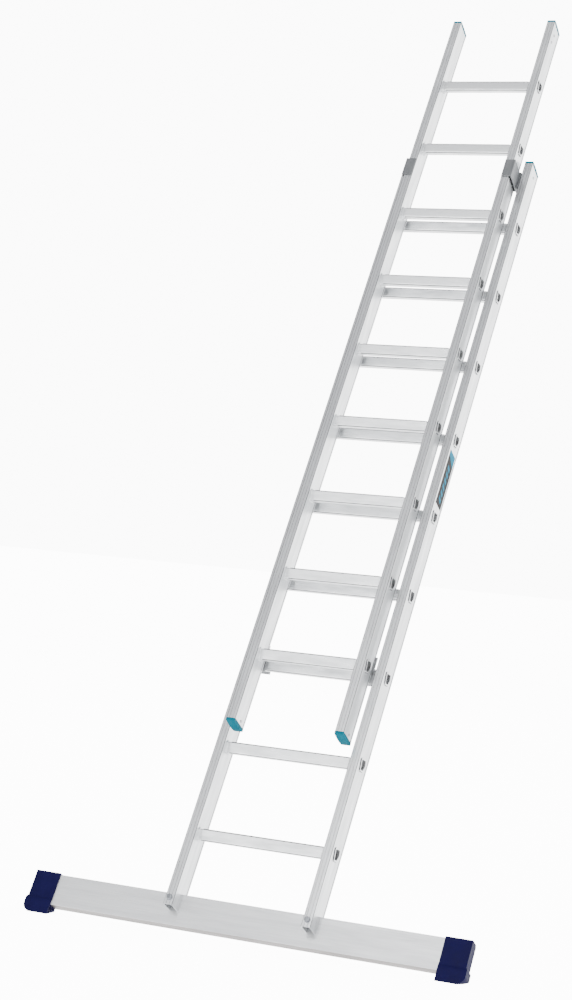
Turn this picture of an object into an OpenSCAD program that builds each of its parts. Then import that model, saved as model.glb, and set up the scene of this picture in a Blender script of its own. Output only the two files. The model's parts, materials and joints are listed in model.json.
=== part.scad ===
// Two-section aluminium extension ladder with a stabiliser bar.
// Sections are drawn in the ladder's own plane: x across, y to the back, z up the stiles.
// The whole ladder is then leaned back, so that the feet stand flat on z = 0.

/* [Ladder] */
// Distance between rungs, centre to centre
pitch = 250; // [230:5:300]
// Number of rungs in each section
rung_count = 9; // [5:1:9]
// How many rungs the fly section is raised by
raised_rungs = 2; // [0:1:6]
// Angle that the ladder leans back from the vertical
lean = 30; // [0:1:32]

/* [Stiles] */
// Width over the outside of the base stiles
base_width = 401; // [401:1:480]
// Width over the outside of the fly stiles
fly_width = 328; // [300:1:330]
// Width of one stile's front face
stile_w = 25; // [24:1:26]
// Depth of a base stile
base_depth = 70; // [68:1:76]
// Depth of a fly stile
fly_depth = 65; // [60:1:66]
// Wall thickness of a stile
stile_wall = 1.6; // [1.4:0.1:2]
// How far the side walls lie inside the corner beads
side_recess = 0.8; // [0.5:0.1:1]
// How far the fly section's front stands in front of the base's
fly_step = 58; // [58:1:62]

/* [Rungs] */
// Depth of a rung's tread
tread_depth = 31; // [28:0.5:32]
// Height of a rung below its tread
rung_height = 31; // [28:0.5:32]
// Wall thickness of a rung
rung_wall = 2; // [1.8:0.1:2.2]
// Angle between the tread and the ladder's plane, level when the ladder leans this much
tread_tilt = 15; // [12:1:18]

/* [Stabiliser bar] */
// Length of the aluminium bar
bar_length = 1100; // [800:10:1300]
// Height of the bar
bar_height = 84; // [80:1:90]
// Thickness of the bar
bar_depth = 28; // [26:1:30]
// Length of each end foot outside the bar's end
foot_cover = 70; // [60:1:80]

/* [Guides and hooks] */
// Height of a guide bracket
guide_height = 62; // [50:1:70]
// Width of a rung hook
hook_width = 29; // [27:1:40]

/* [Hidden] */
$fn = 48;
sides = [-1, 1];

// Heights up the stiles, from the middle of the feet's soles
first_rung_z = 264;
bar_bottom_z = 17;
bar_top_z = bar_bottom_z + bar_height;
top_rung_z = first_rung_z + (rung_count - 1) * pitch;
base_foot_z = 55;
base_top_z = top_rung_z + 226;
fly_first_z = first_rung_z + raised_rungs * pitch;
fly_bottom_z = fly_first_z - 206;
fly_top_z = fly_first_z + (rung_count - 1) * pitch + 240;
guide_z = top_rung_z + 155;

// Places from front to back, with y = 0 in the middle of the bar
bar_inset = 42;
base_front_y = -bar_depth / 2 - bar_inset;
fly_front_y = base_front_y - fly_step;
base_rung_y = base_front_y + base_depth / 2;
fly_rung_y = fly_front_y + fly_depth / 2;
fly_rear_y = fly_front_y + fly_depth;

// Places across
base_outer_x = base_width / 2;
base_inner_x = base_outer_x - stile_w;
fly_outer_x = fly_width / 2;
fly_inner_x = fly_outer_x - stile_w;

// Stile details
bead_w = 5;
groove_w = 1.6;
groove_d = 0.5;
corner = 1.2;
rung_play = 0.1;

// Rung details
ring_h = 2.4;
ring_grow = 2.6;
collar_h = 3;
neck_l = 10;
neck_shrink = 0.9;
rib_count = 5;
rib_w = 2.6;
rib_gap = 1.6;
rib_d = 0.7;
line_z = -rung_height / 2 + 4.5;
line_w = 1;
line_d = 0.5;

// Plugs, caps and feet
plug_play = 0.3;
plug_shell = 2;
plug_bridge = 14;
cap_h = 9;
cap_crown_r = 260;
base_plug_h = 42;
fly_plug_h = 76;
foot_h = 10;
foot_crown_r = 200;
foot_plug_h = 22;

// Rivets, each place given up from the stile's end and back from the rungs' centre line
rivet_r = 2;
rivet_head_r = 4;
rivet_head_h = 1.4;
rivet_hole_r = 2.05;
blind_l = 6;
base_cap_rivet_at = [[-26, 2]];
fly_cap_rivet_at = [[-33, -5.5], [-64, -10.5]];
fly_foot_rivet_at = [10, 5.5];

// Bar fasteners
bolt_r = 4;
bolt_hole_r = 4.5;
bolt_x = base_outer_x - stile_w / 2;
bolt_z = 74;
washer_r = 8;
washer_h = 1.6;
head_flats = 13;
head_h = 5.3;
nut_h = 6.5;
bolt_tail = 5;
sleeve_r = 6;
sleeve_play = 0.1;
bar_wall = 2;
bar_lip_h = 12;
bar_lip_d = 1.6;
bar_groove_z = [24, 42, 60];
bar_rib_z = bar_bottom_z + 35;
// Each chamber's lowest point and height
bar_chambers = [
    [bar_bottom_z + bar_wall, bar_rib_z - bar_bottom_z - bar_wall],
    [bar_rib_z + bar_wall, bar_top_z - bar_rib_z - 2 * bar_wall]
];

// Bar feet
foot_shell = 3;
foot_play = 0.2;
foot_plug = 45;
foot_plug_play = 0.4;
foot_over_bar = 3;
foot_ridge_z = 27;
foot_ridge_d = 2.2;
foot_bulge = 4;
foot_corner_r = 22;
foot_floor = 5;
foot_rib = 2.5;
foot_front_y = -bar_depth / 2 - foot_shell;
foot_back_y = bar_depth / 2 + foot_shell;
foot_top_z = bar_top_z + foot_over_bar;
foot_outer_x = bar_length / 2 + foot_cover - 22;
foot_inner_x = bar_length / 2 - 22;

// Guide brackets
guide_play = 1;
guide_wall = 2.5;
guide_gap = 4;
guide_step = 1;
guide_back_y = base_front_y + 38;
guide_cover = 24;
guide_rivet_y = base_front_y + 21;
guide_through_z = -15;
guide_blind_z = 15;

// Rung hooks, with heights counted from the middle of the rung they rest on
hook_t = 4;
hook_play = 0.6;
hook_drop = 4;
hook_outer_x = fly_outer_x + 4;
hook_plate_z = 6;
hook_plate_h = 40;
hook_rivet_z = [22, 36];

// Label
label_w = 46;
label_h = 172;
label_t = 0.4;
label_z = top_rung_z - 877;

// ---- helpers ----

// Leans the ladder's own plane back onto the floor
module leaned() {
    rotate([-lean, 0, 0]) children();
}

// Draws children on the right, or mirrored on the left when side is -1
module on_side(side) {
    if (side > 0) children();
    else mirror([1, 0, 0]) children();
}

// Extrudes an outline drawn in y and z along x, between two x places
module along_x(x0, x1) {
    translate([x0, 0, 0]) rotate([90, 0, 90]) linear_extrude(x1 - x0) children();
}

// Section of a stile, from its outer face at x = 0 inwards, front at y = 0
module stile_section(depth, wall = stile_wall) {
    r = side_recess;
    difference() {
        polygon([
            [-corner, 0], [-stile_w + corner, 0], [-stile_w, corner], [-stile_w, bead_w],
            [-stile_w + r, bead_w + r], [-stile_w + r, depth - bead_w - r], [-stile_w, depth - bead_w],
            [-stile_w, depth - corner], [-stile_w + corner, depth], [-corner, depth],
            [0, depth - corner], [0, depth - bead_w], [-r, depth - bead_w - r],
            [-r, bead_w + r], [0, bead_w], [0, corner]
        ]);
        translate([-stile_w + wall + r, wall]) square([stile_w - 2 * wall - 2 * r, depth - 2 * wall]);
        for (gx = [0.32, 0.68])
            translate([-stile_w * gx - groove_w / 2, -1]) square([groove_w, 1 + groove_d]);
    }
}

// Outline of a rung's section, grown all round by g, with its centre at 0 and its tread on top
function rung_outline(g) = let (d = tread_depth / 2 + g, h = rung_height / 2 + g) [
    [-d, h - 5], [-d + 1.3, h - 1.6], [-d + 4.2, h], [d - 1, h], [d, h - 1],
    [d, -1.5 - g * 0.4], [2.5 + g * 0.4, -h], [-d + 3, -h], [-d, -h + 3]
];

// The same outline with ribs on the tread and a line along the lower front
module rung_section() {
    ribs = rib_count * rib_w + (rib_count - 1) * rib_gap;
    difference() {
        polygon(rung_outline(0));
        for (i = [0 : rib_count - 2])
            translate([-ribs / 2 + rib_w + i * (rib_w + rib_gap), rung_height / 2 - rib_d])
                square([rib_gap, rib_d + 1]);
        translate([-tread_depth / 2 - 1, line_z]) square([1 + line_d, line_w]);
    }
}

// One rung through stiles with these inner and outer faces, its centre at y and z
module rung(inner_x, outer_x, y, z) {
    wall_x = outer_x - side_recess;
    color([0.82, 0.83, 0.84]) leaned() translate([0, y, z]) rotate([tread_tilt, 0, 0]) difference() {
        union() {
            along_x(-inner_x + neck_l, inner_x - neck_l) rung_section();
            along_x(-wall_x - ring_h, wall_x + ring_h) polygon(rung_outline(-neck_shrink));
            for (s = sides) on_side(s) {
                along_x(wall_x, wall_x + ring_h) polygon(rung_outline(ring_grow));
                along_x(inner_x + side_recess - collar_h, inner_x + side_recess)
                    polygon(rung_outline(ring_grow));
            }
        }
        along_x(-outer_x - 10, outer_x + 10) polygon(rung_outline(-rung_wall));
    }
}

// Openings through both walls of a stile for all rungs of a section
module rung_openings(y, first_z) {
    for (i = [0 : rung_count - 1])
        translate([0, y, first_z + i * pitch]) rotate([tread_tilt, 0, 0])
            along_x(-stile_w - 1, 1) polygon(rung_outline(-neck_shrink + rung_play));
}

// A blind rivet that points along -x, its flange on the plane x = 0
module rivet(length) {
    rotate([0, 90, 0]) {
        translate([0, 0, -length]) cylinder(r = rivet_r, h = length);
        rotate_extrude() polygon([
            [0, 0], [rivet_head_r, 0], [rivet_head_r, rivet_head_h * 0.3],
            [rivet_head_r * 0.8, rivet_head_h * 0.8], [rivet_head_r * 0.45, rivet_head_h],
            [0, rivet_head_h]
        ]);
    }
}

module rivet_hole() {
    rotate([0, 90, 0]) translate([0, 0, -8]) cylinder(r = rivet_hole_r, h = 12);
}

// ---- base section ----

// Notch behind the stile's foot that the stabiliser bar lies in
module bar_notch() {
    translate([-stile_w - 1, bar_inset, -1]) cube([stile_w + 2, base_depth, bar_top_z + 1]);
}

module base_stile(side) {
    color([0.78, 0.79, 0.80]) leaned() on_side(side) translate([base_outer_x, 0, 0]) difference() {
        translate([0, base_front_y, base_foot_z]) linear_extrude(base_top_z - base_foot_z)
            stile_section(base_depth);
        rung_openings(base_rung_y, first_rung_z);
        translate([0, base_front_y, 0]) bar_notch();
        translate([-stile_w / 2, base_front_y - 1, bolt_z]) rotate([-90, 0, 0])
            cylinder(r = bolt_hole_r, h = stile_wall + 2);
        for (r = base_cap_rivet_at)
            translate([-side_recess, base_rung_y + r[1], base_top_z + r[0]]) rivet_hole();
        for (z = [guide_through_z, guide_blind_z])
            translate([-stile_w + 4, guide_rivet_y, guide_z + z]) rivet_hole();
        translate([-side_recess, guide_rivet_y, guide_z + guide_through_z]) rivet_hole();
    }
}

module base_rung(i) {
    rung(base_inner_x, base_outer_x, base_rung_y, first_rung_z + (i - 1) * pitch);
}

// Plug inside a stile end, a shell open at its far end, and a crowned plate over the end
module end_plug(depth, plate_h, crown_r, plug_h) {
    inner_w = stile_w - 2 * stile_wall - 2 * side_recess - 2 * plug_play;
    inner_d = depth - 2 * stile_wall - 2 * plug_play;
    x0 = -stile_w + stile_wall + side_recess + plug_play;
    y0 = stile_wall + plug_play;
    difference() {
        translate([x0, y0, -plug_h]) cube([inner_w, inner_d, plug_h]);
        translate([x0 + plug_shell, y0 + plug_shell, -plug_h - 1])
            cube([inner_w - 2 * plug_shell, inner_d - 2 * plug_shell, plug_h - plug_bridge + 1]);
    }
    intersection() {
        linear_extrude(plate_h) polygon([
            [-corner, 0], [-stile_w + corner, 0], [-stile_w, corner], [-stile_w, depth - corner],
            [-stile_w + corner, depth], [-corner, depth], [0, depth - corner], [0, corner]
        ]);
        translate([-stile_w - 1, depth / 2, plate_h - crown_r]) rotate([0, 90, 0])
            cylinder(r = crown_r, h = stile_w + 2, $fn = 96);
    }
}

module base_cap(side) {
    color([0.05, 0.68, 0.78]) leaned() on_side(side) difference() {
        translate([base_outer_x, base_front_y, base_top_z])
            end_plug(base_depth, cap_h, cap_crown_r, base_plug_h);
        for (r = base_cap_rivet_at)
            translate([base_outer_x - side_recess, base_rung_y + r[1], base_top_z + r[0]]) rivet_hole();
    }
}

module base_cap_rivets() {
    color([0.5, 0.5, 0.52]) leaned() for (s = sides, r = base_cap_rivet_at) on_side(s)
        translate([base_outer_x - side_recess, base_rung_y + r[1], base_top_z + r[0]]) rivet(blind_l);
}

// Guide bracket, an extrusion that holds a fly stile at its front and back and stands on the base stile
module guide_section() {
    front = fly_front_y - guide_play;
    back = fly_rear_y + guide_play;
    web_x = fly_outer_x + guide_gap;
    difference() {
        union() {
            translate([web_x, front - guide_wall])
                square([base_inner_x - web_x, guide_back_y - front + guide_wall]);
            translate([fly_outer_x - guide_cover, front - guide_wall])
                square([base_inner_x - fly_outer_x + guide_cover, guide_wall]);
            translate([fly_outer_x - guide_cover * 0.6, back])
                square([web_x - fly_outer_x + guide_cover * 0.6 + 1, guide_wall]);
        }
        translate([web_x + guide_wall, front - guide_wall - 1])
            square([base_inner_x - web_x, base_front_y - front - guide_step + 1]);
        translate([web_x + guide_wall, guide_rivet_y - 10])
            square([base_inner_x - web_x - 2 * guide_wall, 20]);
    }
}

module guide_bracket(side) {
    color([0.56, 0.57, 0.58]) leaned() on_side(side) difference() {
        translate([0, 0, guide_z - guide_height / 2]) linear_extrude(guide_height) guide_section();
        for (z = [guide_through_z, guide_blind_z]) translate([base_inner_x, guide_rivet_y, guide_z + z])
            rotate([0, 90, 0]) translate([0, 0, -12]) cylinder(r = rivet_hole_r, h = 20);
    }
}

// Each guide bracket has a rivet right through the stile and a blind one above it
module guide_rivets() {
    web_x = fly_outer_x + guide_gap;
    outer_x = base_outer_x - side_recess;
    color([0.5, 0.5, 0.52]) leaned() for (s = sides) on_side(s) {
        translate([web_x, guide_rivet_y, guide_z + guide_blind_z]) mirror([1, 0, 0])
            rivet(base_inner_x - web_x + side_recess + stile_wall + 2);
        translate([web_x, guide_rivet_y, guide_z + guide_through_z]) mirror([1, 0, 0]) rivet(10);
        translate([outer_x, guide_rivet_y, guide_z + guide_through_z]) rivet(outer_x - web_x - 9);
    }
}

// Stabiliser bar, a closed extrusion with an inner rib and a lip along its lower edge
module bar_section() {
    front = -bar_depth / 2;
    difference() {
        union() {
            translate([front, bar_bottom_z]) square([bar_depth, bar_height]);
            translate([front - bar_lip_d, bar_bottom_z]) square([bar_lip_d + 1, bar_lip_h]);
        }
        for (c = bar_chambers) translate([front + bar_wall, c[0]]) square([bar_depth - 2 * bar_wall, c[1]]);
        for (z = bar_groove_z) translate([front - 1, bar_bottom_z + z]) square([1 + groove_d, groove_w]);
    }
}

module stabiliser_bar() {
    color([0.74, 0.75, 0.76]) leaned() difference() {
        along_x(-bar_length / 2, bar_length / 2) bar_section();
        for (s = sides) translate([s * bolt_x, -bar_depth, bolt_z]) rotate([-90, 0, 0])
            cylinder(r = bolt_hole_r, h = 2 * bar_depth);
    }
}

// Side view of a bar foot, with a ridge across its front above the fuller lower part
module foot_side() {
    polygon([
        [foot_front_y, foot_top_z], [foot_front_y, foot_ridge_z + 7],
        [foot_front_y - foot_ridge_d, foot_ridge_z + 2], [foot_front_y - foot_ridge_d - 1, foot_ridge_z - 8],
        [foot_front_y - foot_ridge_d, -30], [foot_back_y, -30], [foot_back_y, foot_top_z - 6],
        [foot_back_y - 6, foot_top_z]
    ]);
}

// Front view of a bar foot, fuller below the ridge and rounded at its outer lower corner
module foot_front() {
    full_x = foot_outer_x + foot_bulge;
    polygon(concat(
        [[foot_inner_x, -40], [foot_inner_x, foot_top_z], [foot_outer_x, foot_top_z],
            [foot_outer_x, foot_ridge_z + 8], [full_x, foot_ridge_z]],
        [for (a = [0 : 10 : 60]) [
            full_x - foot_corner_r * (1 - cos(a)), foot_corner_r * 0.55 - foot_corner_r * sin(a)]],
        [[full_x - foot_corner_r * 1.3, -40]]
    ));
}

// Pockets in the inner side of a foot's lower part, between its ribs
module foot_pockets() {
    slope = tan(lean);
    front = foot_front_y + 3;
    back = 9;
    top = bar_bottom_z - 4;
    difference() {
        polygon([
            [front, front * slope + foot_floor], [front, top], [back, top], [back, back * slope + foot_floor]
        ]);
        for (y = [-8, 0]) translate([y - foot_rib / 2, -40]) square([foot_rib, 80]);
        translate([-30, 1]) square([25, foot_rib]);
    }
}

// Hollow plugs that fill the bar's two chambers
module foot_plugs() {
    for (c = bar_chambers) translate([0, c[0]]) difference() {
        translate([-bar_depth / 2 + bar_wall + foot_plug_play, foot_plug_play])
            square([bar_depth - 2 * bar_wall - 2 * foot_plug_play, c[1] - 2 * foot_plug_play]);
        translate([-bar_depth / 2 + bar_wall + foot_shell, foot_shell])
            square([bar_depth - 2 * bar_wall - 2 * foot_shell, c[1] - 2 * foot_shell]);
    }
}

module bar_foot(side) {
    bar_end = bar_length / 2;
    sleeve_l = bar_end - foot_inner_x + 1 + foot_play;
    low = bar_bottom_z - foot_play;
    color([0.12, 0.14, 0.30]) on_side(side) difference() {
        leaned() {
            difference() {
                intersection() {
                    along_x(foot_inner_x, foot_outer_x + foot_bulge) foot_side();
                    translate([0, 50, 0]) rotate([90, 0, 0]) linear_extrude(100) foot_front();
                }
                translate([foot_inner_x - 1, -bar_depth / 2 - foot_play, low])
                    cube([sleeve_l, bar_depth + 2 * foot_play, bar_height + 2 * foot_play]);
                translate([foot_inner_x - 1, -bar_depth / 2 - bar_lip_d - foot_play, low])
                    cube([sleeve_l, bar_depth / 2, bar_lip_h + 2 * foot_play]);
                along_x(foot_inner_x - 1, foot_outer_x - foot_corner_r) foot_pockets();
            }
            along_x(bar_end - foot_plug, bar_end + foot_play + 1) foot_plugs();
        }
        translate([foot_inner_x - 5, -100, -100]) cube([foot_cover + 20, 200, 100]);
    }
}

// Long bolts through the stile's front wall, the sleeve and the bar
module bar_bolts() {
    head_y = base_front_y - washer_h;
    color([0.62, 0.62, 0.64]) leaned() for (s = sides) translate([s * bolt_x, 0, bolt_z]) {
        translate([0, head_y - head_h, 0]) rotate([-90, 0, 0])
            cylinder(d = head_flats / cos(30), h = head_h, $fn = 6);
        translate([0, head_y - 0.1, 0]) rotate([-90, 0, 0])
            cylinder(r = bolt_r, h = bar_depth / 2 - head_y + washer_h + nut_h + bolt_tail + 0.1);
    }
}

module washer(y) {
    translate([0, y, 0]) rotate([-90, 0, 0]) difference() {
        cylinder(r = washer_r, h = washer_h);
        translate([0, 0, -1]) cylinder(r = bolt_hole_r, h = washer_h + 2);
    }
}

module bar_washers() {
    color([0.62, 0.62, 0.64]) leaned() for (s = sides) translate([s * bolt_x, 0, bolt_z]) {
        washer(base_front_y - washer_h);
        washer(bar_depth / 2);
    }
}

module bar_nuts() {
    color([0.62, 0.62, 0.64]) leaned() for (s = sides)
        translate([s * bolt_x, bar_depth / 2 + washer_h, bolt_z]) rotate([-90, 0, 0]) difference() {
            cylinder(d = head_flats / cos(30), h = nut_h, $fn = 6);
            translate([0, 0, -1]) cylinder(r = bolt_r, h = nut_h + 2);
        }
}

// Sleeves inside the stiles, which keep the bolts from crushing them
module bar_sleeves() {
    color([0.62, 0.62, 0.64]) leaned() for (s = sides)
        translate([s * bolt_x, base_front_y + stile_wall, bolt_z]) rotate([-90, 0, 0]) difference() {
            cylinder(r = sleeve_r, h = bar_inset - stile_wall);
            translate([0, 0, -1]) cylinder(r = bolt_r + sleeve_play, h = bar_inset + 2);
        }
}

module label_plate() {
    color([0.25, 0.27, 0.30]) leaned()
        translate([base_outer_x - side_recess, base_rung_y - label_w / 2, label_z - label_h / 2])
            cube([label_t, label_w, label_h]);
}

// ---- fly section ----

module fly_stile(side) {
    color([0.80, 0.81, 0.82]) leaned() on_side(side) translate([fly_outer_x, 0, 0]) difference() {
        translate([0, fly_front_y, fly_bottom_z]) linear_extrude(fly_top_z - fly_bottom_z)
            stile_section(fly_depth);
        rung_openings(fly_rung_y, fly_first_z);
        for (r = fly_cap_rivet_at)
            translate([-side_recess, fly_rung_y + r[1], fly_top_z + r[0]]) rivet_hole();
        for (x = [-side_recess, -stile_w + 4])
            translate([x, fly_rung_y + fly_foot_rivet_at[1], fly_bottom_z + fly_foot_rivet_at[0]])
                rivet_hole();
        for (z = hook_rivet_z) translate([-stile_w / 2, fly_rear_y, fly_first_z + z])
            rotate([0, 0, 90]) rivet_hole();
    }
}

module fly_rung(i) {
    rung(fly_inner_x, fly_outer_x, fly_rung_y, fly_first_z + (i - 1) * pitch);
}

module fly_cap(side) {
    color([0.05, 0.68, 0.78]) leaned() on_side(side) difference() {
        translate([fly_outer_x, fly_front_y, fly_top_z])
            end_plug(fly_depth, cap_h, cap_crown_r, fly_plug_h);
        for (r = fly_cap_rivet_at)
            translate([fly_outer_x - side_recess, fly_rung_y + r[1], fly_top_z + r[0]]) rivet_hole();
    }
}

module fly_cap_rivets() {
    color([0.5, 0.5, 0.52]) leaned() for (s = sides, r = fly_cap_rivet_at) on_side(s)
        translate([fly_outer_x - side_recess, fly_rung_y + r[1], fly_top_z + r[0]]) rivet(blind_l);
}

// Thick foot under a fly stile, riveted from both sides
module fly_foot(side) {
    color([0.02, 0.62, 0.72]) leaned() on_side(side) difference() {
        translate([fly_outer_x, fly_front_y, fly_bottom_z]) mirror([0, 0, 1])
            end_plug(fly_depth, foot_h, foot_crown_r, foot_plug_h);
        for (x = [fly_outer_x - side_recess, fly_inner_x + 4])
            translate([x, fly_rung_y + fly_foot_rivet_at[1], fly_bottom_z + fly_foot_rivet_at[0]])
                rivet_hole();
    }
}

module fly_foot_rivets() {
    color([0.5, 0.5, 0.52]) leaned() for (s = sides) on_side(s)
        translate([0, fly_rung_y + fly_foot_rivet_at[1], fly_bottom_z + fly_foot_rivet_at[0]]) {
            translate([fly_outer_x - side_recess, 0, 0]) rivet(blind_l);
            translate([fly_inner_x + side_recess, 0, 0]) mirror([1, 0, 0]) rivet(blind_l);
        }
}

// Side view of a rung hook: a saddle over a base rung and a plate up the fly stile's back
module hook_side() {
    half = tread_depth / 2 + hook_play;
    top = rung_height / 2 + hook_play;
    low = -rung_height / 2 - hook_drop;
    intersection() {
        translate([base_rung_y, fly_first_z]) rotate(tread_tilt) difference() {
            union() {
                translate([-half - hook_t, low]) square([2 * half + 2 * hook_t, top + hook_t - low]);
                translate([-2 * half, top]) square([2 * half, hook_t]);
            }
            translate([-half, low - 1]) square([2 * half, top - low + 1]);
        }
        translate([fly_rear_y, fly_first_z - 100]) square(200);
    }
    translate([fly_rear_y, fly_first_z + hook_plate_z]) square([hook_t, hook_plate_h]);
}

module rung_hook(side) {
    color([0.42, 0.43, 0.45]) leaned() on_side(side) difference() {
        along_x(hook_outer_x - hook_width, hook_outer_x) hook_side();
        for (z = hook_rivet_z) translate([fly_outer_x - stile_w / 2, fly_rear_y + hook_t, fly_first_z + z])
            rotate([0, 0, 90]) rivet_hole();
    }
}

// Rivets that hold the rung hooks to the backs of the fly stiles
module hook_rivets() {
    color([0.5, 0.5, 0.52]) leaned() for (s = sides, z = hook_rivet_z) on_side(s)
        translate([fly_outer_x - stile_w / 2, fly_rear_y + hook_t, fly_first_z + z])
            rotate([0, 0, 90]) rivet(hook_t + stile_wall + 2);
}

// ---- nodes ----

base_stile(-1);  // base_stile_left
base_stile(1);  // base_stile_right
for (i = [1 : rung_count]) base_rung(i);
base_cap(-1);  // base_cap_left
base_cap(1);  // base_cap_right
base_cap_rivets();
guide_bracket(-1);  // guide_bracket_left
guide_bracket(1);  // guide_bracket_right
guide_rivets();
stabiliser_bar();
bar_foot(-1);  // bar_foot_left
bar_foot(1);  // bar_foot_right
bar_bolts();
bar_washers();
bar_nuts();
bar_sleeves();
label_plate();
fly_stile(-1);  // fly_stile_left
fly_stile(1);  // fly_stile_right
for (i = [1 : rung_count]) fly_rung(i);
fly_cap(-1);  // fly_cap_left
fly_cap(1);  // fly_cap_right
fly_cap_rivets();
fly_foot(-1);  // fly_foot_left
fly_foot(1);  // fly_foot_right
fly_foot_rivets();
rung_hook(-1);  // rung_hook_left
rung_hook(1);  // rung_hook_right
hook_rivets();
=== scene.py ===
import bpy, bmesh, json, math
from mathutils import Matrix, Vector

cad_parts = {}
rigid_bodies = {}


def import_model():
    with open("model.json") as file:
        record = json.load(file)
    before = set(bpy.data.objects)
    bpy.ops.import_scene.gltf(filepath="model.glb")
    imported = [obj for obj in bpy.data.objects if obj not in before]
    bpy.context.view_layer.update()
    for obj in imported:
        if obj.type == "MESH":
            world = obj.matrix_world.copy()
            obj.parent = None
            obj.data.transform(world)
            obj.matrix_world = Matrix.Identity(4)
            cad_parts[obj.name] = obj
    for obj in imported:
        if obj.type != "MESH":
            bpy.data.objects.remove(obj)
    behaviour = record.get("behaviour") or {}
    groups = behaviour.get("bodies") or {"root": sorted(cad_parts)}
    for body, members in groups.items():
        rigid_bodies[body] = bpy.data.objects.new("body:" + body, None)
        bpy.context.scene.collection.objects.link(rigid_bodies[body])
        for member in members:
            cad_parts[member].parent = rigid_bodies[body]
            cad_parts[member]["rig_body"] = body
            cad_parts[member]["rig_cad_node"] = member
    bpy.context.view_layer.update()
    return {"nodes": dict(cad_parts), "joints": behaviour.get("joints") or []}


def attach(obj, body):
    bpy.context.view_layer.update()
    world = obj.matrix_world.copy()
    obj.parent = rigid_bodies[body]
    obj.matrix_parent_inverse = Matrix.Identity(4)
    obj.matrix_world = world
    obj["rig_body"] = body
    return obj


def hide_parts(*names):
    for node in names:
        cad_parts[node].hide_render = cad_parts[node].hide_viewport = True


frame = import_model()

mm = 0.001             # the pieces' sizes below are in millimetres
tiny = 0.00001
smoothAngle = 32       # edges folded more than this many degrees stay sharp
slideAxis = frame["joints"][0]["axis"]
lean = math.atan2(slideAxis[1], slideAxis[2])  # how far the ladder leans back

camera = {
    "place": (2.212, -5.018, 1.0045),
    "turn": (91.087, -5.143, 23.44),
    "lens": 79.45,
    "sensorHeight": 36,
}


def makeCamera():
    lensData = bpy.data.cameras.new("camera")
    lensData.sensor_fit = "VERTICAL"
    lensData.sensor_height = camera["sensorHeight"]
    lensData.lens = camera["lens"]
    cam = bpy.data.objects.new("camera", lensData)
    cam.location = camera["place"]
    cam.rotation_euler = [math.radians(angle) for angle in camera["turn"]]
    bpy.context.scene.collection.objects.link(cam)
    bpy.context.scene.camera = cam


def linear(hexColour, alpha=1.0):
    channels = [int(hexColour[i:i + 2], 16) / 255 for i in (1, 3, 5)]
    return [c / 12.92 if c <= 0.04045 else ((c + 0.055) / 1.055) ** 2.4 for c in channels] + [alpha]


def addNode(tree, kind, settings=None, inputs=None):
    node = tree.nodes.new("ShaderNode" + kind)
    for name, value in (settings or {}).items():
        setattr(node, name, value)
    for name, value in (inputs or {}).items():
        if isinstance(value, bpy.types.NodeSocket):
            tree.links.new(value, node.inputs[name])
        else:
            node.inputs[name].default_value = value
    return node


def fillRamp(node, stops):
    ramp = node.color_ramp
    while len(ramp.elements) < len(stops):
        ramp.elements.new(0.5)
    for element, (place, colour) in zip(ramp.elements, stops):
        element.position = place
        element.color = linear(colour)
    return node


studio = {
    # light from each height, from 0 straight down to 1 straight up
    "sky": [(0.0, "#FFFFFF"), (0.58, "#FFFFFF"), (0.70, "#D8D9DA"), (0.78, "#A6A7A8"),
            (0.83, "#68696B"), (0.93, "#626366"), (0.955, "#B4B5B7"), (0.985, "#1A1A1B")],
    "skyStrength": 4.5,
    "backdropStrength": 11.0,   # what is seen behind the ladder
    "floorSize": 120,
    "floorColour": "#E4E4E3",
    "floorRough": 0.9,
    "floorShine": 0.1,
    "floorGlow": 2.2,           # what the floor gives to the ladder
    "floorSeen": 11.5,          # and to the camera
}

# square soft boxes, with places and sizes in metres and power in watts
lamps = {
    "overheadLight": {"place": (0.5, 4.5, 6.5), "target": (0, 2, 0), "size": 7, "power": 300},
    "sideLight": {"place": (5.5, 3.0, 3.0), "target": (0, 0.8, 1.2), "size": 3.5, "power": 80},
    "frontLight": {"place": (-0.3, -3.25, 3.8), "target": (0.3, 0, 0.2), "size": 1.2, "power": 75},
}


def aimLight(name, lamp):
    light = bpy.data.lights.new(name, "AREA")
    light.shape = "SQUARE"
    light.size = lamp["size"]
    light.energy = lamp["power"]
    holder = bpy.data.objects.new(name, light)
    holder.location = lamp["place"]
    way = Vector(lamp["target"]) - Vector(lamp["place"])
    holder.rotation_euler = way.to_track_quat("-Z", "Y").to_euler()
    bpy.context.scene.collection.objects.link(holder)


def makeStudio():
    world = bpy.data.worlds.new("studio")
    world.use_nodes = True
    bpy.context.scene.world = world
    tree = world.node_tree
    look = addNode(tree, "TexCoord").outputs["Generated"]
    height = addNode(tree, "SeparateXYZ", {}, {"Vector": look}).outputs["Z"]
    share = addNode(tree, "MapRange", {}, {"Value": height, "From Min": -1.0, "From Max": 1.0})
    ramp = fillRamp(addNode(tree, "ValToRGB", {}, {"Fac": share.outputs["Result"]}), studio["sky"])
    seen = addNode(tree, "LightPath").outputs["Is Camera Ray"]
    light = addNode(tree, "Background", {}, {
        "Color": ramp.outputs["Color"], "Strength": studio["skyStrength"]})
    backdrop = addNode(tree, "Background", {}, {
        "Color": linear("#FFFFFF"), "Strength": studio["backdropStrength"]})
    both = addNode(tree, "MixShader", {}, {0: seen, 1: light.outputs[0], 2: backdrop.outputs[0]})
    tree.links.new(both.outputs[0], tree.nodes["World Output"].inputs["Surface"])
    for name, lamp in lamps.items():
        aimLight(name, lamp)


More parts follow.
